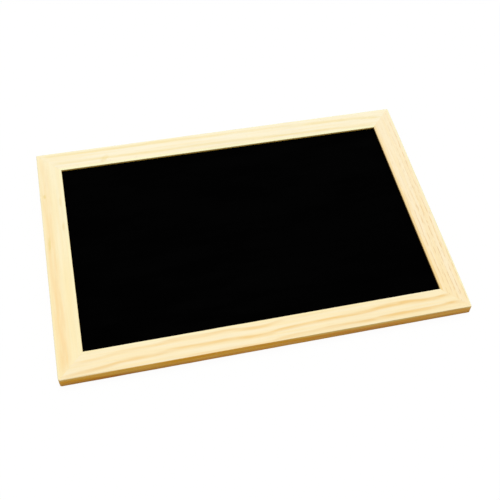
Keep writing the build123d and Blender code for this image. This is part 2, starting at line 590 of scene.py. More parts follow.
def sight_radius(side, sizes):
    """Radius of a side's front edge beside the panel."""
    return sizes.worn_sight_radius if side == "right" else sizes.sight_radius


def nodes_of(kind):
    """Names of the frame's nodes that start with a kind, or with one of some kinds."""
    return [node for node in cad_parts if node.startswith(kind)]


def node_turn(node):
    """Turn about Z of a fastener, from the name of its corner or side."""
    for number, corner in enumerate(CORNERS):
        if corner in node:
            return number * QUARTER_TURN
    return side_turn(next(side for side in SIDES if side in node))


def box_middle(node):
    """Middle of a node's box."""
    low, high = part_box(node)
    return (low + high) / 2


def along_points(points, place):
    """Value at a place, straight from point to point (place, value)."""
    spans = [span for span in zip(points, points[1:]) if place < span[1][0]]
    (start, low), (end, high) = spans[0] if spans else points[-2:]
    return low + (high - low) * (place - start) / (end - start)


def near(value, place):
    """Whether two lengths are the same."""
    return abs(value - place) < TOLERANCE


def all_at(part, axis, place):
    """Whether all the corners of an edge or face lie at one place along an axis."""
    return all(near(corner.co[axis], place) for corner in part.verts)


def runs_along(edge, axis):
    """Whether an edge runs along an axis."""
    first, second = edge.verts
    across = [other for other in (X, Y, Z) if other != axis]
    return all(near(first.co[other], second.co[other]) for other in across)


def select_only(piece):
    """Makes a piece the one that object operators act on."""
    bpy.ops.object.select_all(action="DESELECT")
    piece.select_set(True)
    bpy.context.view_layer.objects.active = piece


def add_block(name, low, high):
    """A cube of that box, in edit mode."""
    bpy.ops.object.select_all(action="DESELECT")
    bpy.ops.mesh.primitive_cube_add(size=1, location=(low + high) / 2)
    return start_shaping(name, high - low)


def add_plate(name, location, rotation, scale):
    """A flat rectangle, in edit mode."""
    bpy.ops.object.select_all(action="DESELECT")
    bpy.ops.mesh.primitive_plane_add(size=1, location=location, rotation=rotation)
    return start_shaping(name, scale)


def start_shaping(name, scale):
    """Names and sizes the new primitive, puts its place in its mesh and opens it in edit mode."""
    piece = bpy.context.object
    piece.name = piece.data.name = name
    piece.scale = scale
    bpy.ops.object.transform_apply(location=True, rotation=True, scale=True)
    bpy.ops.object.mode_set(mode="EDIT")
    return piece


def pick(piece, kind, test):
    """Selects, in edit mode, the VERT, EDGE or FACE parts that pass a test, and nothing else."""
    bpy.ops.mesh.select_mode(type=kind)
    bpy.ops.mesh.select_all(action="DESELECT")
    shape = bmesh.from_edit_mesh(piece.data)
    shape.normal_update()
    parts = {"VERT": shape.verts, "EDGE": shape.edges, "FACE": shape.faces}[kind]
    found = [part for part in parts if test(part)]
    if not found:
        raise RuntimeError(f"{piece.name} has no such {kind.lower()} to shape")
    for part in found:
        part.select_set(True)
    bmesh.update_edit_mesh(piece.data)


def round_edges(piece, test, radius, steps):
    """Rounds the edges that pass a test."""
    pick(piece, "EDGE", test)
    bpy.ops.mesh.bevel(offset=radius, segments=steps, affect="EDGES")


def score(point, normal, **settings):
    """Divides what is selected in edit mode along a plane."""
    bpy.ops.mesh.bisect(plane_co=point, plane_no=normal, threshold=TOLERANCE, **settings)


def saw_off(point, normal, fill=True):
    """Saws all that is open in edit mode, keeps the side that the normal points to and can close the cut."""
    bpy.ops.mesh.select_all(action="SELECT")
    score(point, normal, use_fill=fill, clear_inner=True)


def extrude(step):
    """Extrudes what is selected in edit mode."""
    bpy.ops.mesh.extrude_region_move(TRANSFORM_OT_translate={"value": step})


def end_shaping():
    """Turns all faces outwards and leaves edit mode."""
    bpy.ops.mesh.select_all(action="SELECT")
    bpy.ops.mesh.normals_make_consistent(inside=False)
    bpy.ops.object.mode_set(mode="OBJECT")


def apply_modifier(piece, kind, **settings):
    """Adds a modifier with those settings and applies it."""
    select_only(piece)
    modifier = piece.modifiers.new(kind.title(), kind)
    for name, value in settings.items():
        setattr(modifier, name, value)
    bpy.ops.object.modifier_apply(modifier=modifier.name)


def place_piece(piece, turn, location):
    """Turns a piece about Z, moves it and puts its place in its mesh."""
    select_only(piece)
    piece.rotation_euler.z = turn
    piece.location = location
    bpy.ops.object.transform_apply(location=True, rotation=True, scale=True)


def copy_piece(model, name, turn, location):
    """A copy of a model with its own mesh, in its place."""
    piece = model.copy()
    piece.data = model.data.copy()
    piece.name = piece.data.name = name
    bpy.context.collection.objects.link(piece)
    place_piece(piece, turn, location)
    return piece


def finish_piece(piece, node, material):
    """Smooths a finished piece, gives it its material and puts it in the place of its node."""
    shape = bmesh.new()
    shape.from_mesh(piece.data)
    is_closed = all(edge.is_manifold for edge in shape.edges)
    shape.free()
    if not is_closed:
        raise RuntimeError(f"{piece.name} is not closed")
    select_only(piece)
    bpy.ops.object.shade_smooth_by_angle(angle=SMOOTH_ANGLE)
    piece.data.materials.clear()
    piece.data.materials.append(material)
    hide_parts(node)
    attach(piece, ROOT)


class Wiring:
    """Adds nodes to a node tree in rows, and gives back their sockets."""

    ROW = 12
    STEP_X = 200
    STEP_Y = -320

    def __init__(self, tree):
        self.tree = tree

    def add(self, kind, inputs=(), **settings):
        """A node with settings and inputs."""
        count = len(self.tree.nodes)
        node = self.tree.nodes.new(kind)
        node.location = (count % self.ROW * self.STEP_X, count // self.ROW * self.STEP_Y)
        for name, value in settings.items():
            setattr(node, name, value)
        self.feed(node, dict(inputs))
        return node

    def feed(self, node, inputs):
        """Sets a node's inputs, by name or number, each to a value or by a link from a socket."""
        for name, value in inputs.items():
            if isinstance(value, NodeSocket):
                self.tree.links.new(value, node.inputs[name])
            else:
                node.inputs[name].default_value = value

    def math(self, operation, *values):
        """A Math node of one to three values."""
        return self.add("ShaderNodeMath", enumerate(values), operation=operation).outputs["Value"]

    def plus(self, first, second):
        """The sum of two values."""
        return self.math("ADD", first, second)

    def minus(self, first, second):
        """The first value less the second."""
        return self.math("SUBTRACT", first, second)

    def times(self, first, second):
        """The product of two values."""
        return self.math("MULTIPLY", first, second)

    def vector_math(self, operation, *values):
        """A Vector Math node of two vectors."""
        return self.add("ShaderNodeVectorMath", enumerate(values), operation=operation).outputs["Vector"]

    def scale(self, vector, factor):
        """A vector or colour times a value."""
        inputs = {"Vector": vector, "Scale": factor}
        return self.add("ShaderNodeVectorMath", inputs, operation="SCALE").outputs["Vector"]

    def parts(self, vector):
        """The X, Y and Z of a vector."""
        return self.add("ShaderNodeSeparateXYZ", {"Vector": vector}).outputs

    def ramp(self, value, start, end, low=0.0, high=1.0, smooth=True):
        """A value that goes from low, at start, to high, at end."""
        node = self.add(
            "ShaderNodeMapRange",
            {"Value": value, "From Min": start, "From Max": end, "To Min": low, "To Max": high},
            interpolation_type="SMOOTHSTEP" if smooth else "LINEAR",
        )
        return node.outputs["Result"]

    def between(self, share, low, high):
        """A value between two values, by a share from 0 to 1."""
        return self.ramp(share, 0.0, 1.0, low, high, smooth=False)

    def mix(self, factor, first, second, blend="MIX"):
        """A colour between two colours."""
        inputs = {MIX_FACTOR: factor, MIX_FIRST: first, MIX_SECOND: second}
        return self.add("ShaderNodeMix", inputs, data_type="RGBA", blend_type=blend).outputs[MIX_RESULT]

    def noise(self, position, patch, detail=2.0):
        """Noise from 0 to 1, in patches of that size along each axis."""
        stretched = self.vector_math("DIVIDE", position, patch)
        inputs = {"Vector": stretched, "Scale": 1.0, "Detail": detail}
        return self.add("ShaderNodeTexNoise", inputs).outputs["Fac"]

    def swing(self, noise, amount):
        """Noise turned into a value that swings evenly about 0."""
        return self.times(self.minus(noise, 0.5), 2 * amount)

    def shader(self, kind, inputs=()):
        """A shader."""
        return self.add(kind, inputs).outputs[0]

    def mix_shaders(self, factor, first, second):
        """A shader between two shaders."""
        return self.shader("ShaderNodeMixShader", enumerate((factor, first, second)))


def opaque(colour):
    """A colour with full alpha, as a colour socket takes it."""
    return (*colour, 1.0)


def grey(level):
    """An opaque grey."""
    return opaque((level,) * 3)


def socket_name(key):
    """A key's words as a socket's name."""
    return key.replace("_", " ").title()


def back_from(edge, band):
    """A band's two places, measured back from an edge."""
    return [edge - distance for distance in band]


def start_nodes(owner):
    """Empties the node tree of a material or world: its wiring."""
    owner.use_nodes = True
    owner.node_tree.nodes.clear()
    return Wiring(owner.node_tree)


def start_material(name):
    """A new material, its wiring and its shader."""
    material = bpy.data.materials.new(name)
    wiring = start_nodes(material)
    shader = wiring.add("ShaderNodeBsdfPrincipled")
    wiring.add("ShaderNodeOutputMaterial", {"Surface": shader.outputs["BSDF"]})
    return material, wiring, shader


def start_group(name, vectors, values, colours, gives):
    """A new node group with inputs of three kinds: its wiring, its input sockets and its output node."""
    group = bpy.data.node_groups.new(name, "ShaderNodeTree")
    takes = {"Vector": vectors, "Float": values, "Color": colours}
    sockets = [("INPUT", label, kind) for kind, labels in takes.items() for label in labels]
    sockets += [("OUTPUT", label, kind) for label, kind in gives.items()]
    for in_out, label, kind in sockets:
        group.interface.new_socket(name=label, in_out=in_out, socket_type=f"NodeSocket{kind}")
    wiring = Wiring(group)
    return wiring, wiring.add("NodeGroupInput").outputs, wiring.add("NodeGroupOutput")


def place_group(wiring, name, inputs):
    """A node group, built when first needed, placed in a material with its own values: its outputs."""
    if name not in bpy.data.node_groups:
        GROUP_BUILDERS[name](name)
    node = wiring.add("ShaderNodeGroup", node_tree=bpy.data.node_groups[name])
    wiring.feed(node, inputs)
    return node.outputs


def local_place(wiring, origin=(0.0, 0.0, 0.0), turn=0.0):
    """Place on the piece in millimetres, from an origin and turned about Z."""
    inputs = {
        "Vector": wiring.add("ShaderNodeTexCoord").outputs["Object"],
        "Location": origin,
        "Rotation": (0.0, 0.0, turn),
        "Scale": (MM, MM, MM),
    }
    return wiring.add("ShaderNodeMapping", inputs, vector_type="TEXTURE").outputs["Vector"]


def surface_normal(wiring):
    """Direction that the surface faces."""
    return wiring.add("ShaderNodeNewGeometry").outputs["Normal"]


def relief_normal(wiring, height, depth):
    """Normal of a relief of a height from 0 to 1, as deep as that."""
    inputs = {"Height": height, "Distance": depth, "Strength": 1.0}
    return wiring.add("ShaderNodeBump", inputs).outputs["Normal"]


def build_pine_grain(name):
    """Growth rings, fibres and resin canals of planed pine."""
    wiring, given, result = start_group(
        name,
        vectors=("Place",),
        values=(
            "Line", "Ring Width", "Lean", "Late Share", "Outer", "Main", "Inner", "Broken", "Break Length",
            "Wander", "Streaks", "Paleness", "Canals",
        ),
        colours=("Pale", "Late", "Canal"),
        gives=FINISH_SOCKETS,
    )
    place = given["Place"]
    _, across, height = wiring.parts(place)

    # How far a point is from the nearest latewood line, in ring widths
    broad = wiring.swing(wiring.noise(place, PATCHES["broad wander"], detail=1.0), BROAD_WANDER)
    fine = wiring.swing(wiring.noise(place, PATCHES["fine wander"]), FINE_WANDER)
    wander = wiring.times(wiring.plus(broad, fine), given["Wander"])
    depth = wiring.minus(height, THICKNESS / MM)
    leaning = wiring.math("MULTIPLY_ADD", depth, given["Lean"], across)
    from_line = wiring.plus(wiring.minus(leaning, given["Line"]), wander)
    ring = wiring.math("DIVIDE", from_line, given["Ring Width"])
    number = wiring.math("FLOOR", wiring.plus(ring, 0.5))
    share = wiring.minus(ring, number)

    # Latewood fades in over most of its width and ends more sharply
    soft = wiring.math("DIVIDE", share, wiring.times(given["Late Share"], -FADE_IN))
    sharp = wiring.math("DIVIDE", share, wiring.times(given["Late Share"], 1.0 - FADE_IN))
    line = wiring.ramp(wiring.math("MAXIMUM", soft, sharp), LINE_CORE, 1.0, 1.0, 0.0)

    # The main line is number 0, with the outer ones below it and the inner ones above it
    is_outer = wiring.math("LESS_THAN", number, -0.5)
    is_inner = wiring.math("GREATER_THAN", number, 0.5)
    strength = wiring.between(is_outer, given["Main"], given["Outer"])
    strength = wiring.between(is_inner, strength, given["Inner"])
    break_size = {"X": given["Break Length"], "Y": BREAK_WIDTH, "Z": BREAK_WIDTH}
    break_patch = wiring.add("ShaderNodeCombineXYZ", break_size).outputs["Vector"]
    gap = wiring.ramp(wiring.noise(place, break_patch, detail=1.0), *BREAK_LEVELS, -1.0, 0.0)
    whole = wiring.math("MULTIPLY_ADD", gap, given["Broken"], 1.0)
    late = wiring.times(wiring.times(line, strength), whole)
    colour = wiring.mix(late, given["Pale"], given["Late"])

    # Soft streaks that are paler or yellower, and fibres
    streak = wiring.ramp(wiring.noise(place, PATCHES["pale streak"]), *STREAK_LEVELS, -1.0, 1.0)
    tone = wiring.math("MULTIPLY_ADD", streak, given["Streaks"], given["Paleness"])
    yellower = wiring.vector_math("MULTIPLY", colour, YELLOW_STREAK)
    paler = wiring.vector_math("MULTIPLY", colour, PALE_STREAK)
    colour = wiring.mix(wiring.ramp(tone, -1.0, 1.0, smooth=False), yellower, paler)
    fibre = wiring.noise(place, PATCHES["wood fibre"])
    colour = wiring.scale(colour, wiring.plus(wiring.swing(fibre, FIBRE_TONE), 1.0))

    # Resin canals, in some of the cells of a stretched pattern
    stretched = wiring.vector_math("DIVIDE", place, PATCHES["resin canal"])
    cells = wiring.add("ShaderNodeTexVoronoi", {"Vector": stretched, "Scale": 1.0}).outputs
    is_open = wiring.ramp(wiring.parts(cells["Color"])["X"], *CANAL_LEVELS)
    dash = wiring.ramp(cells["Distance"], *CANAL_EDGE, 1.0, 0.0)
    canal = wiring.times(wiring.times(dash, is_open), given["Canals"])

    roughness = wiring.plus(wiring.swing(fibre, FIBRE_ROUGHNESS), PINE_ROUGHNESS)
    relief = wiring.math("MULTIPLY_ADD", late, LATE_RELIEF, wiring.times(fibre, FIBRE_RELIEF))
    wiring.feed(result, {
        "Color": wiring.mix(canal, colour, given["Canal"]),
        "Roughness": wiring.math("MULTIPLY_ADD", late, LATE_ROUGHNESS, roughness),
        "Height": wiring.math("MULTIPLY_ADD", canal, CANAL_RELIEF, relief),
    })


def build_fleck(name):
    """One pin knot or resin fleck."""
    wiring, given, result = start_group(
        name,
        vectors=("Place", "Middle", "Size"),
        values=("Slant", "Strength"),
        colours=(),
        gives={"Mask": "Float"},
    )
    from_middle = wiring.vector_math("SUBTRACT", given["Place"], given["Middle"])
    ragged = wiring.swing(wiring.noise(given["Place"], PATCHES["fleck edge"]), FLECK_RAGGEDNESS)
    turn = {"Vector": from_middle, "Angle": given["Slant"]}
    turned = wiring.add("ShaderNodeVectorRotate", turn, rotation_type="Z_AXIS").outputs["Vector"]
    scaled = wiring.vector_math("DIVIDE", turned, given["Size"])
    distance = wiring.add("ShaderNodeVectorMath", {"Vector": scaled}, operation="LENGTH").outputs["Value"]
    mask = wiring.ramp(wiring.plus(distance, ragged), *FLECK_EDGE, 1.0, 0.0)
    wiring.feed(result, {"Mask": wiring.times(mask, given["Strength"])})


def build_rail_edges(name):
    """Painted shade on a rail's outer side and lip wall, the painted highlight of its rim and the tone beside
    the panel.
    """
    wiring, given, result = start_group(
        name,
        vectors=("Place", "Normal"),
        values=(
            "Side Depth", "Side Tone", "Side Line", "Side Ring", "Worn", "Soiling", "Lip Shade", "Sight",
            "Rim",
        ),
        colours=(
            "Color", "Side Tint", "Side Streak", "Side Worn", "Soil", "Lip Tint", "Sight Tone", "Rim Tone",
        ),
        gives={"Color": "Color"},
    )
    _, across, height = wiring.parts(given["Place"])
    front = THICKNESS / MM
    sight = RAIL_WIDTH / MM
    # Beside the panel, the sanded tone, and on the right stile painted shade of its rounded edge
    beside_panel = wiring.times(wiring.ramp(across, *back_from(sight, SIGHT_BAND)), given["Sight"])
    colour = wiring.mix(beside_panel, given["Color"], given["Sight Tone"])
    # A painted highlight along the outer rim, so that its rounding looks as lit as the face
    rim = wiring.times(wiring.ramp(across, *RIM_BAND, 1.0, 0.0), given["Rim"])
    colour = wiring.mix(rim, colour, given["Rim Tone"])

    # The outer side: painted shade, deeper in streaks and a ring, paler along its worn, lit front edge and
    # darker towards the back
    streak = wiring.swing(wiring.noise(given["Place"], PATCHES["side streak"]), 1.0)
    from_line = wiring.math("ABSOLUTE", wiring.minus(height, given["Side Line"]))
    ring = wiring.times(wiring.ramp(from_line, *RING_EDGE, 1.0, 0.0), given["Side Ring"])
    tone = wiring.ramp(wiring.plus(wiring.plus(streak, ring), given["Side Tone"]), *TONE_LEVELS)
    painted_shade = wiring.mix(tone, given["Side Tint"], given["Side Streak"])
    # Paler painted shade along the worn front edge, where the rounded arris catches light
    worn = wiring.times(wiring.ramp(height, *back_from(front, WORN_AND_LIT_BAND)), given["Worn"])
    painted_shade = wiring.mix(worn, painted_shade, given["Side Worn"])
    side = wiring.mix(given["Side Depth"], colour, painted_shade, blend="MULTIPLY")
    # Painted shade, darker towards the back, where the side meets the floor
    darkened = wiring.times(wiring.ramp(height, *BACK_SHADE_BAND, 1.0, 0.0), given["Soiling"])
    side = wiring.mix(darkened, side, given["Soil"], blend="MULTIPLY")

    # The upright faces: the outer side, whose painted shade reaches less far round a worn, lit arris, and the
    # lip's wall, which has painted shade too
    lip = wiring.mix(1.0, colour, wiring.scale(given["Lip Tint"], given["Lip Shade"]), blend="MULTIPLY")
    level = wiring.math("ABSOLUTE", wiring.parts(given["Normal"])["Z"])
    reach = wiring.between(worn, *SHADE_REACH)
    upright = wiring.ramp(level, reach, wiring.minus(reach, SHADE_FADE))
    is_outer = wiring.times(wiring.ramp(across, *OUTER_BAND, 1.0, 0.0), upright)
    on_lip = wiring.ramp(across, *back_from(sight, LIP_BAND))
    is_lip = wiring.times(on_lip, wiring.ramp(level, *LIP_FACING))
    wiring.feed(result, {"Color": wiring.mix(is_lip, wiring.mix(is_outer, colour, side), lip)})


def build_tarnish(name):
    """Rolling marks and a dull film on steel."""
    wiring, given, result = start_group(
        name,
        vectors=("Place",),
        values=("Amount",),
        colours=("Steel", "Film"),
        gives=FINISH_SOCKETS,
    )
    rolled = wiring.noise(given["Place"], PATCHES["steel rolling"])
    cloud = wiring.noise(given["Place"], PATCHES["steel film"], detail=4.0)
    film = wiring.times(wiring.ramp(cloud, *FILM_LEVELS), given["Amount"])
    roughness = wiring.plus(wiring.swing(rolled, ROLLING_ROUGHNESS), STEEL_ROUGHNESS)
    wiring.feed(result, {
        "Color": wiring.mix(film, given["Steel"], given["Film"]),
        "Roughness": wiring.math("MULTIPLY_ADD", film, FILM_ROUGHNESS, roughness),
        "Height": rolled,
    })


GROUP_BUILDERS = {
    "pine grain": build_pine_grain,
    "wood fleck": build_fleck,
    "rail edges": build_rail_edges,
    "tarnish": build_tarnish,
}


def curve_along(wiring, along, points, top):
    """A smooth curve through points (along the rail, value), with values from 0 to top."""
    start, end = points[0][0], points[-1][0]
    share = wiring.ramp(along, start, end, smooth=False)
    node = wiring.add("ShaderNodeFloatCurve", {"Value": share})
    curve = node.mapping.curves[0]
    route = [((place - start) / (end - start), value / top) for place, value in points]
    curve.points[0].location = route[0]
    curve.points[1].location = route[-1]
    for point in route[1:-1]:
        curve.points.new(*point)
    node.mapping.update()
    return wiring.times(node.outputs["Value"], top)


def pine_material(side, colours):
    """Planed pine with the figure of one rail."""
    grain = GRAIN[side]
    material, wiring, shader = start_material(f"pine {side}")
    half = rail_length(side) / 2 / MM
    turn = side_turn(side)
    origin = Quaternion((0, 0, 1), turn) @ Vector((0, -rail_reach(side), 0))
    place = local_place(wiring, origin, turn)
    along, across, _ = wiring.parts(place)

    def plain(*keys):
        return {socket_name(key): grain[key] for key in keys}

    def by_points(*keys, top=1.0):
        return {socket_name(key): curve_along(wiring, along, grain[key], top) for key in keys}

    def between_ends(*keys):
        return {socket_name(key): wiring.ramp(along, -half, half, *grain[key], smooth=False) for key in keys}

    def tints(*keys):
        return {socket_name(key): opaque(getattr(colours, key)) for key in keys}

    # The rings are fainter at the mitres
    to_mitre = wiring.minus(half, wiring.plus(wiring.math("ABSOLUTE", along), across))
    fade = wiring.ramp(to_mitre, 0.0, MITRE_FADE, MITRE_STRENGTH, 1.0)
    strengths = by_points("outer", "main", "inner")
    figure = place_group(wiring, "pine grain", {
        "Place": wiring.vector_math("ADD", place, (PLANK_STEP * SIDES.index(side), 0.0, 0.0)),
        **by_points("line", "ring_width", top=RAIL_WIDTH / MM),
        **{name: wiring.times(strength, fade) for name, strength in strengths.items()},
        **plain("lean", "late_share", "broken", "break_length", "wander", "streaks"),
        **between_ends("paleness", "canals"),
        **tints("canal"),
        "Pale": opaque(getattr(colours, f"{side}_pale")),
        "Late": opaque(getattr(colours, f"{side}_late")),
    })

    colour = figure["Color"]
    for fleck_side, fleck_along, fleck_across, length, width, slant, strength in FLECKS:
        if fleck_side == side:
            fleck = place_group(wiring, "wood fleck", {
                "Place": place,
                "Middle": (fleck_along, fleck_across, THICKNESS / MM),
                "Size": (length, width, width),
                "Slant": math.radians(slant),
                "Strength": strength,
            })
            colour = wiring.mix(fleck["Mask"], colour, opaque(colours.fleck))

    # Painted shade on the rail's outer side and lip wall, and a painted highlight on its rim
    edges = place_group(wiring, "rail edges", {
        "Color": colour,
        "Place": place,
        "Normal": surface_normal(wiring),
        **tints("side_tint", "side_streak", "side_worn", "soil", "lip_tint"),
        **plain("side_depth", "lip_shade", "rim"),
        **by_points("side_tone", "side_ring", "worn", "soiling"),
        **by_points("side_line", top=THICKNESS / MM),
        **between_ends("sight"),
        "Sight Tone": opaque(getattr(colours, grain["sight_tone"])),
        "Rim Tone": opaque(colours.sanded),
    })
    wiring.feed(shader, {
        "Base Color": edges["Color"],
        "Roughness": figure["Roughness"],
        "Specular IOR Level": PINE_SHINE,
        "Normal": relief_normal(wiring, figure["Height"], PINE_RELIEF),
    })
    return material


def panel_material(colours, sizes):
    """A matt black writing coat on the face of brown hardboard, with a screen-pressed back."""
    material, wiring, shader = start_material("slate coated hardboard")
    place = local_place(wiring)
    x, y, height = wiring.parts(place)
    coat_edge = (PANEL_FRONT - sizes.panel_edge) / MM
    coat = wiring.ramp(height, coat_edge - COAT_BLEND, coat_edge + COAT_BLEND)

    # The coat: rolled on, with a fine stipple
    stipple = wiring.noise(place, PATCHES["coat stipple"])
    rolled = wiring.noise(place, PATCHES["rolled coat"])
    thin = wiring.ramp(rolled, *ROLLED_LEVELS)
    slate = wiring.mix(thin, opaque(colours.slate), opaque(colours.slate_worn))
    polish = wiring.ramp(rolled, *POLISH_LEVELS, *COAT_ROUGHNESS)

    # The hardboard: short fibres in all directions, and the press screen's weave on the back
    fibre = wiring.noise(place, PATCHES["board fibre"], detail=3.0)
    cross_fibre = wiring.noise(place, PATCHES["board cross fibre"], detail=3.0)
    cloud = wiring.noise(place, PATCHES["board cloud"], detail=3.0)
    pale = wiring.ramp(wiring.math("MAXIMUM", fibre, cross_fibre), *BOARD_FIBRE_LEVELS)
    pale = wiring.plus(wiring.swing(cloud, CLOUD_TONE), pale)
    board = wiring.mix(pale, opaque(colours.board), opaque(colours.board_fibre))
    turns = 2 * math.pi / SCREEN_PITCH
    waves = [wiring.math("SINE", wiring.times(distance, turns)) for distance in (x, y)]
    screen = wiring.math("MULTIPLY_ADD", wiring.times(*waves), 0.5, 0.5)
    facing = wiring.parts(surface_normal(wiring))["Z"]
    screen = wiring.times(screen, wiring.ramp(facing, *SCREEN_FACING))
    board = wiring.scale(board, wiring.between(screen, *SCREEN_SHADE))
    board_relief = wiring.math("MULTIPLY_ADD", fibre, BOARD_FIBRE_RELIEF, screen)

    relief = wiring.between(coat, board_relief, wiring.times(stipple, STIPPLE_RELIEF))
    wiring.feed(shader, {
        "Base Color": wiring.mix(coat, board, slate),
        "Roughness": wiring.plus(wiring.swing(stipple, STIPPLE_ROUGHNESS), polish),
        "Specular IOR Level": COAT_SHINE,
        "Normal": relief_normal(wiring, relief, PANEL_RELIEF),
    })
    return material


def steel_material(name, colours, amount):
    """Rolled steel with some tarnish."""
    material, wiring, shader = start_material(name)
    steel = place_group(wiring, "tarnish", {
        "Place": local_place(wiring),
        "Amount": amount,
        "Steel": opaque(colours.steel),
        "Film": opaque(colours.tarnish),
    })
    wiring.feed(shader, {
        "Base Color": steel["Color"],
        "Roughness": steel["Roughness"],
        "Metallic": 1.0,
        "Normal": relief_normal(wiring, steel["Height"], STEEL_RELIEF),
    })
    return material


def fold_nail(name, sizes, strip, low, high):
    """A V-nail about its middle, between two heights: its apex and legs, with the ends flared out."""
    leg = sizes.nail_leg
    flare = sizes.nail_flare
    apex = leg / 2
    middle = (low + high) / 2
    piece = add_plate(name, (0.0, apex, middle), (QUARTER_TURN, 0.0, 0.0), (leg, high - low, 1.0))
    pick(piece, "EDGE", lambda edge: all_at(edge, X, apex))
    extrude((0.0, -leg, 0.0))
    extrude((flare, -flare, 0.0))
    pick(piece, "EDGE", lambda edge: all_at(edge, X, -apex))
    extrude((-flare, flare, 0.0))

    def is_fold(edge):
        return runs_along(edge, Z) and len(edge.link_faces) == 2

    def is_apex(edge):
        return is_fold(edge) and all_at(edge, X, apex) and all_at(edge, Y, apex)

    flare_offset = sizes.nail_bend_radius * math.tan(FLARE_TURN / 2)
    round_edges(piece, lambda edge: is_fold(edge) and not is_apex(edge), flare_offset, BEND_STEPS)
    round_edges(piece, is_apex, sizes.nail_bend_radius, BEND_STEPS)
    end_shaping()
    apply_modifier(piece, "SOLIDIFY", thickness=strip, offset=0.0, use_even_offset=True)
    return piece


def stamp_point(name, sizes, room=0.0):
    """A framer's point about its middle, with its tip towards -Y, and with room all round for a kerf."""
    length = POINT_LENGTH + 2 * room
    width = POINT_WIDTH + 2 * room
    thickness = POINT_THICKNESS + 2 * room
    tip = Vector((0.0, -length / 2, 0.0))
    piece = add_plate(name, (0.0, 0.0, -thickness / 2), (0.0, 0.0, 0.0), (width, length, 1.0))
    for side in (-1, 1):
        saw_off(tip, (-side * sizes.point_tip, width / 2, 0.0), fill=False)
    pick(piece, "VERT", lambda corner: near(corner.co.y, length / 2))
    bpy.ops.mesh.bevel(offset=sizes.point_corner_radius, segments=BEND_STEPS, affect="VERTICES")
    bpy.ops.mesh.select_all(action="SELECT")
    extrude((0.0, 0.0, thickness))
    end_shaping()
    return piece


def set_fasteners(model, kind, sizes, steel):
    """Eases a model's stamped edges and sets a copy of it in the place of each node of its kind."""
    apply_modifier(model, "BEVEL", width=sizes.stamped_edge, segments=EDGE_STEPS, limit_method="ANGLE")
    for node in nodes_of(kind):
        piece = copy_piece(model, f"steel_{node}", node_turn(node), box_middle(node))
        finish_piece(piece, node, steel)
    bpy.data.objects.remove(model)


def stations(side):
    """Places along a rail, between its mitres, where it is divided."""
    reach = rail_length(side) / 2 - RAIL_WIDTH
    count = round(2 * reach / STATION_GAP)
    return [(2 * number / count - 1) * reach for number in range(count + 1)]


def ease_arris(piece, side, sizes):
    """Makes the front arris of a rail rounder or sharper, at each station and at its two ends."""
    outer = -rail_reach(side)
    half = rail_length(side) / 2
    edge = sizes.arris_radius + TOLERANCE

    def ease(place, is_there, along):
        amount = along_points(EASING[side], place / MM)
        pick(piece, "VERT", lambda corner: THICKNESS - corner.co.z < edge and is_there(corner.co))
        size = (amount if along else 1.0, amount, amount)
        bpy.ops.transform.resize(value=size, center_override=(place, outer, THICKNESS))

    for place in stations(side):
        ease(place, lambda corner: near(corner.x, place) and corner.y - outer < edge, along=False)
    for place in (-half, half):
        ease(place, lambda corner: abs(corner.x - place) < RAIL_WIDTH / 2, along=True)


def lean_corner(piece, side, sizes):
    """Leans the bottom right corner out towards the back."""
    end, outwards = LEANING[side]
    corner_start = rail_length(side) / 2 - RAIL_WIDTH / 2
    middle = THICKNESS / 2
    for way in (-1, 1):
        pick(piece, "VERT", lambda corner: (
            corner.co.x * end > corner_start and (middle - corner.co.z) * way > 0
        ))
        bpy.ops.transform.translate(value=outwards * way * sizes.corner_lean)


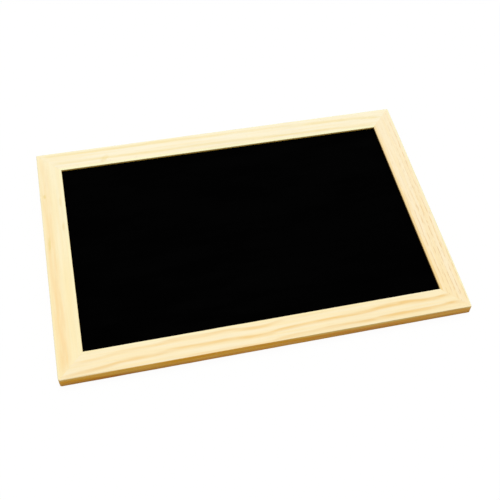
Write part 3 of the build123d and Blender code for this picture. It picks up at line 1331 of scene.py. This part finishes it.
def shape_rail(side, sizes):
    """A rail in the bottom rail's place, sawn out of a block of the whole frame."""
    half = rail_length(side) / 2
    outer = -rail_reach(side)
    sight = outer + RAIL_WIDTH
    wall = outer + back_land(sizes)
    rebate = sight - wall
    block_low = Vector((-half, outer, 0.0))
    block_high = Vector((half, -outer, THICKNESS))
    piece = add_block(f"pine_{RAIL_NODES[side]}", block_low, block_high)

    # The rail's two outer corners, each as round as it is sanded, and the arrises
    number = SIDES.index(side)
    for end, corner in ((-1, CORNERS[number]), (1, CORNERS[(number + 1) % len(CORNERS)])):
        radius = getattr(sizes, f"{corner}_radius")
        round_edges(
            piece, lambda edge: all_at(edge, X, end * half) and all_at(edge, Y, outer), radius, CORNER_STEPS
        )
    round_edges(
        piece,
        lambda edge: all_at(edge, Z, 0.0) or all_at(edge, Z, THICKNESS),
        sizes.arris_radius,
        ARRIS_STEPS,
    )

    # The mitres and the sight edge
    for end in (-1, 1):
        saw_off((end * half, outer, 0.0), (-end, -1.0, 0.0))
    saw_off((0.0, sight, 0.0), (0.0, -1.0, 0.0))

    # The rebate: the back inner corner is pushed in along both mitres
    pick(piece, "FACE", lambda face: all_at(face, Y, sight))
    score((0.0, 0.0, PANEL_FRONT), (0.0, 0.0, 1.0))
    pick(piece, "FACE", lambda face: all_at(face, Z, 0.0))
    score((0.0, wall, 0.0), (0.0, 1.0, 0.0))
    for end in (-1, 1):
        pick(piece, "VERT", lambda corner: (
            near(corner.co.y, sight) and near(corner.co.z, 0.0) and corner.co.x * end > 0
        ))
        bpy.ops.transform.translate(value=(end * rebate, -rebate, PANEL_FRONT))

    # The eased edges beside the panel and along the mitres
    round_edges(
        piece,
        lambda edge: all_at(edge, Y, sight) and all_at(edge, Z, THICKNESS),
        sight_radius(side, sizes),
        SIGHT_STEPS,
    )
    pick(piece, "FACE", lambda face: (
        abs(face.normal.z) < UPRIGHT_NORMAL_Z and near(face.normal.y, MITRE_NORMAL_Y)
    ))
    bpy.ops.mesh.region_to_loop()
    bpy.ops.mesh.bevel(offset=sizes.joint_easing, segments=1, affect="EDGES")

    # Stations along the rail
    for place in stations(side):
        bpy.ops.mesh.select_all(action="SELECT")
        score((place, 0.0, 0.0), (1.0, 0.0, 0.0))
    ease_arris(piece, side, sizes)
    if side in LEANING:
        lean_corner(piece, side, sizes)
    end_shaping()
    return piece


def sand_edges(piece, side, sizes):
    """Lets the eased edges of a rail wander, as hand sanding leaves them, but not at its mitres."""
    reach = rail_length(side) / 2 - RAIL_WIDTH
    outer = -rail_reach(side)
    sight_edge = sight_radius(side, sizes)

    def is_eased(place):
        from_face = min(place.z, THICKNESS - place.z)
        on_arris = place.y - outer < sizes.arris_radius and from_face < sizes.arris_radius
        from_sight = outer + RAIL_WIDTH - place.y
        on_sight = from_sight < sight_edge and THICKNESS - place.z < sight_edge
        return abs(place.x) < reach and (on_arris or on_sight)

    eased = piece.vertex_groups.new(name="eased")
    eased.add([corner.index for corner in piece.data.vertices if is_eased(corner.co)], 1.0, "ADD")
    strokes = bpy.data.textures.new(f"sanding strokes {side}", "CLOUDS")
    strokes.noise_scale = SANDING_STROKE
    apply_modifier(
        piece,
        "DISPLACE",
        texture=strokes,
        texture_coords="LOCAL",
        strength=sizes.sanding,
        mid_level=0.5,
        vertex_group=eased.name,
    )
    piece.vertex_groups.clear()


def cut_kerfs(rail, side, sizes, fastener_sizes):
    """Cuts a kerf into a rail for each steel fastener that enters it."""
    room = sizes.kerf_room
    half_height = NAIL_HEIGHT / 2
    nail_kerf = fold_nail(
        "nail_kerf",
        fastener_sizes,
        fastener_sizes.nail_strip + 2 * room,
        -half_height - 2 * nail_low.z,
        half_height + room,
    )
    point_kerf = stamp_point("point_kerf", fastener_sizes, room)
    nails = tuple(f"v_nail_{corner}" for corner in CORNERS if side in corner.split("_"))
    for model, kind in ((nail_kerf, nails), (point_kerf, f"framer_point_{side}")):
        for node in nodes_of(kind):
            cutter = copy_piece(model, f"kerf_{node}", node_turn(node), box_middle(node))
            apply_modifier(rail, "BOOLEAN", object=cutter, operation="DIFFERENCE", solver="EXACT")
            bpy.data.objects.remove(cutter)
        bpy.data.objects.remove(model)


def seen_directly(wiring):
    """Whether a ray comes from the camera, a reflection or a clear material."""
    path = wiring.add("ShaderNodeLightPath").outputs
    reflected = wiring.math("MAXIMUM", path["Is Glossy Ray"], path["Is Transmission Ray"])
    return wiring.math("MAXIMUM", path["Is Camera Ray"], reflected)


def studio_world(settings):
    """White where it is seen, and soft light from above and below."""
    world = bpy.data.worlds.new("studio")
    wiring = start_nodes(world)
    direction = wiring.add("ShaderNodeTexCoord").outputs["Generated"]
    above = wiring.ramp(wiring.parts(direction)["Z"], *HORIZON)
    colour = wiring.mix(above, grey(settings.ground_level), grey(settings.sky_level))
    light = wiring.shader("ShaderNodeBackground", {"Color": colour})
    white = wiring.shader("ShaderNodeBackground", {"Color": WHITE})
    shown = wiring.mix_shaders(seen_directly(wiring), light, white)
    wiring.add("ShaderNodeOutputWorld", {"Surface": shown})
    return world


def floor_material(settings):
    """White where it is seen, but for the board's shadow. Under the board, light from below passes."""
    material = bpy.data.materials.new("white floor")
    wiring = start_nodes(material)
    lit = settings.shadow_depth
    glow = wiring.shader("ShaderNodeEmission", {"Color": WHITE, "Strength": 1.0 - lit})
    shaded = wiring.shader("ShaderNodeBsdfDiffuse", {"Color": grey(lit)})
    white = wiring.shader("ShaderNodeAddShader", enumerate((glow, shaded)))
    matt = wiring.shader("ShaderNodeBsdfDiffuse", {"Color": grey(settings.floor_bounce)})
    clear = wiring.shader("ShaderNodeBsdfTransparent")
    x, y, _ = wiring.parts(wiring.add("ShaderNodeTexCoord").outputs["Object"])
    past_ends = wiring.math("GREATER_THAN", wiring.math("ABSOLUTE", x), BOARD_LENGTH / 2)
    past_sides = wiring.math("GREATER_THAN", wiring.math("ABSOLUTE", y), BOARD_WIDTH / 2)
    felt = wiring.mix_shaders(wiring.math("MAXIMUM", past_ends, past_sides), clear, matt)
    above = wiring.mix_shaders(seen_directly(wiring), felt, white)
    backfacing = wiring.add("ShaderNodeNewGeometry").outputs["Backfacing"]
    wiring.add("ShaderNodeOutputMaterial", {"Surface": wiring.mix_shaders(backfacing, above, clear)})
    return material


def lay_floor(settings):
    """The floor, just below the board's back."""
    bpy.ops.object.select_all(action="DESELECT")
    bpy.ops.mesh.primitive_plane_add(size=settings.floor_size, location=(0.0, 0.0, -settings.floor_gap))
    floor = bpy.context.object
    floor.name = "floor"
    bpy.ops.object.transform_apply(location=True, rotation=True, scale=True)
    floor.data.materials.append(floor_material(settings))


def hang_key_light(settings):
    """One large soft light, far enough away to be even over the board."""
    direction = Vector(settings.key_direction).normalized()
    facing = (-direction).to_track_quat("-Z", "Y").to_euler()
    bpy.ops.object.light_add(type="SUN", location=direction, rotation=facing)
    light = bpy.context.object
    light.name = "key"
    light.data.angle = settings.key_spread
    light.data.energy = settings.key_strength


def set_camera(context, settings):
    """The camera, turned to its target and rolled about its line of sight."""
    flat = math.cos(settings.elevation)
    back = Vector((
        math.sin(settings.azimuth) * flat,
        -math.cos(settings.azimuth) * flat,
        math.sin(settings.elevation),
    ))
    facing = (-back).to_track_quat("-Z", "Y") @ Quaternion((0.0, 0.0, 1.0), settings.roll)
    location = Vector(settings.target) + back * settings.distance
    bpy.ops.object.camera_add(location=location, rotation=facing.to_euler())
    camera = bpy.context.object
    camera.name = "camera"
    camera.data.lens = settings.lens
    context.scene.camera = camera


class SLATE_OT_add_v_nails(Operator):
    """Fold a V-nail from steel strip and press copies of it across the mitres"""

    bl_idname = "slate.add_v_nails"
    bl_label = "Add V-Nails"
    bl_options = {"REGISTER", "UNDO"}

    def execute(self, context):
        sizes = context.scene.slate_fasteners
        steel = steel_material("nail steel", context.scene.slate_colours, NAIL_TARNISH)
        half_height = NAIL_HEIGHT / 2
        model = fold_nail("v_nail_model", sizes, sizes.nail_strip, -half_height, half_height)
        set_fasteners(model, "v_nail", sizes, steel)
        return {"FINISHED"}


class SLATE_OT_add_framer_points(Operator):
    """Stamp a framer's point from sheet steel and set copies of it against the back of the panel"""

    bl_idname = "slate.add_framer_points"
    bl_label = "Add Framer's Points"
    bl_options = {"REGISTER", "UNDO"}

    def execute(self, context):
        sizes = context.scene.slate_fasteners
        steel = steel_material("point steel", context.scene.slate_colours, POINT_TARNISH)
        model = stamp_point("framer_point_model", sizes)
        set_fasteners(model, "framer_point", sizes, steel)
        return {"FINISHED"}


class SLATE_OT_add_rails(Operator):
    """Saw, rebate, ease and kerf the four pine rails"""

    bl_idname = "slate.add_rails"
    bl_label = "Add Rails"
    bl_options = {"REGISTER", "UNDO"}

    def execute(self, context):
        sizes = context.scene.slate_frame
        for side in SIDES:
            rail = shape_rail(side, sizes)
            sand_edges(rail, side, sizes)
            place_piece(rail, side_turn(side), (0.0, 0.0, 0.0))
            cut_kerfs(rail, side, sizes, context.scene.slate_fasteners)
            pine = pine_material(side, context.scene.slate_colours)
            finish_piece(rail, RAIL_NODES[side], pine)
        return {"FINISHED"}


class SLATE_OT_add_panel(Operator):
    """Saw the hardboard panel and ease its edges"""

    bl_idname = "slate.add_panel"
    bl_label = "Add Writing Panel"
    bl_options = {"REGISTER", "UNDO"}

    def execute(self, context):
        sizes = context.scene.slate_frame
        panel = add_block("coated_writing_panel", panel_low, panel_high)
        round_edges(panel, lambda edge: True, sizes.panel_edge, EDGE_STEPS)
        end_shaping()
        coated = panel_material(context.scene.slate_colours, sizes)
        finish_piece(panel, "writing_panel", coated)
        return {"FINISHED"}


class SLATE_OT_set_stage(Operator):
    """Lay the floor, hang the light and set the camera"""

    bl_idname = "slate.set_stage"
    bl_label = "Set Stage"
    bl_options = {"REGISTER", "UNDO"}

    def execute(self, context):
        settings = context.scene.slate_stage
        context.scene.view_settings.view_transform = "Standard"
        context.scene.world = studio_world(settings)
        lay_floor(settings)
        hang_key_light(settings)
        set_camera(context, settings)
        return {"FINISHED"}


OPERATORS = (
    SLATE_OT_add_v_nails,
    SLATE_OT_add_framer_points,
    SLATE_OT_add_rails,
    SLATE_OT_add_panel,
    SLATE_OT_set_stage,
)

SETTINGS = {
    "slate_frame": FrameSizes,
    "slate_fasteners": FastenerSizes,
    "slate_colours": BoardColours,
    "slate_stage": StageSettings,
}


class VIEW3D_PT_slate_board(Panel):
    """The board's operators and settings"""

    bl_label = "Slate Board"
    bl_space_type = "VIEW_3D"
    bl_region_type = "UI"
    bl_category = "Slate Board"

    def draw(self, context):
        layout = self.layout
        layout.use_property_split = True
        for operator in OPERATORS:
            layout.operator(operator.bl_idname)
        for name, group in SETTINGS.items():
            box = layout.box()
            box.label(text=group.__doc__)
            for setting in group.__annotations__:
                box.prop(getattr(context.scene, name), setting)


CLASSES = (*SETTINGS.values(), *OPERATORS, VIEW3D_PT_slate_board)


def register():
    for cls in CLASSES:
        bpy.utils.register_class(cls)
    for name, group in SETTINGS.items():
        setattr(bpy.types.Scene, name, PointerProperty(type=group))


def unregister():
    for name in SETTINGS:
        delattr(bpy.types.Scene, name)
    for cls in reversed(CLASSES):
        bpy.utils.unregister_class(cls)


def main():
    register()
    bpy.ops.slate.add_v_nails()
    bpy.ops.slate.add_framer_points()
    bpy.ops.slate.add_rails()
    bpy.ops.slate.add_panel()
    bpy.ops.slate.set_stage()


if __name__ == "__main__":
    main()
